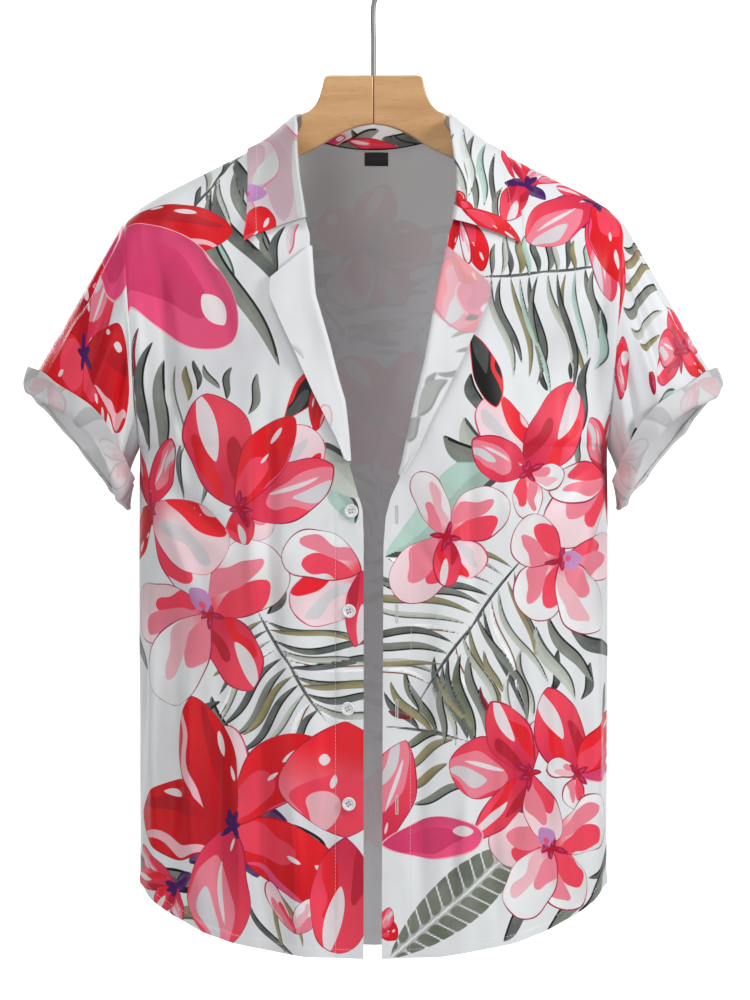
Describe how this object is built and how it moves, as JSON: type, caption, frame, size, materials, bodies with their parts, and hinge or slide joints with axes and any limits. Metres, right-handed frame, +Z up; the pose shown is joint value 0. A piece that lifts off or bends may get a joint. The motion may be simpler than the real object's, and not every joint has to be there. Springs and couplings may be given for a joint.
{
  "type": "hawaiian shirt on a hanger",
  "caption": "Open camp-collar shirt with short sleeves, turned-up cuffs, folded-back lapels and a curved hem, hung on a flat wooden hanger with a wire hook.",
  "frame": {"origin": "inside top of the hanger's hook, where a rail carries it", "axes": "+Z up, front of the shirt towards -Y, wearer's right at -X"},
  "size_m": [0.6114, 0.1797, 0.8913],
  "materials": {
    "printed_cloth": "smooth woven polyester with a soft sheen, cool white with red and pink flowers and grey-green leaves",
    "cloth_reverse": "pale reverse of the same cloth, the print showing through faintly",
    "button": "glossy white",
    "label": "plain black satin weave",
    "hanger_wood": "pale beech under a satin lacquer",
    "hook_wire": "plated steel wire"
  },
  "bodies": {
    "root": {"front_right": "printed_cloth", "front_left": "printed_cloth", "back": "printed_cloth", "sleeve_right": "printed_cloth", "sleeve_left": "printed_cloth", "cuff_right": "cloth_reverse", "cuff_left": "cloth_reverse", "lapel_right": "cloth_reverse", "lapel_left": "cloth_reverse", "collar": "printed_cloth", "button_1": "button", "button_2": "button", "button_3": "button", "button_4": "button", "neck_label": "label", "hanger_half_right": "hanger_wood", "hanger_half_left": "hanger_wood", "hanger_hook": "hook_wire"}
  },
  "joints": []
}
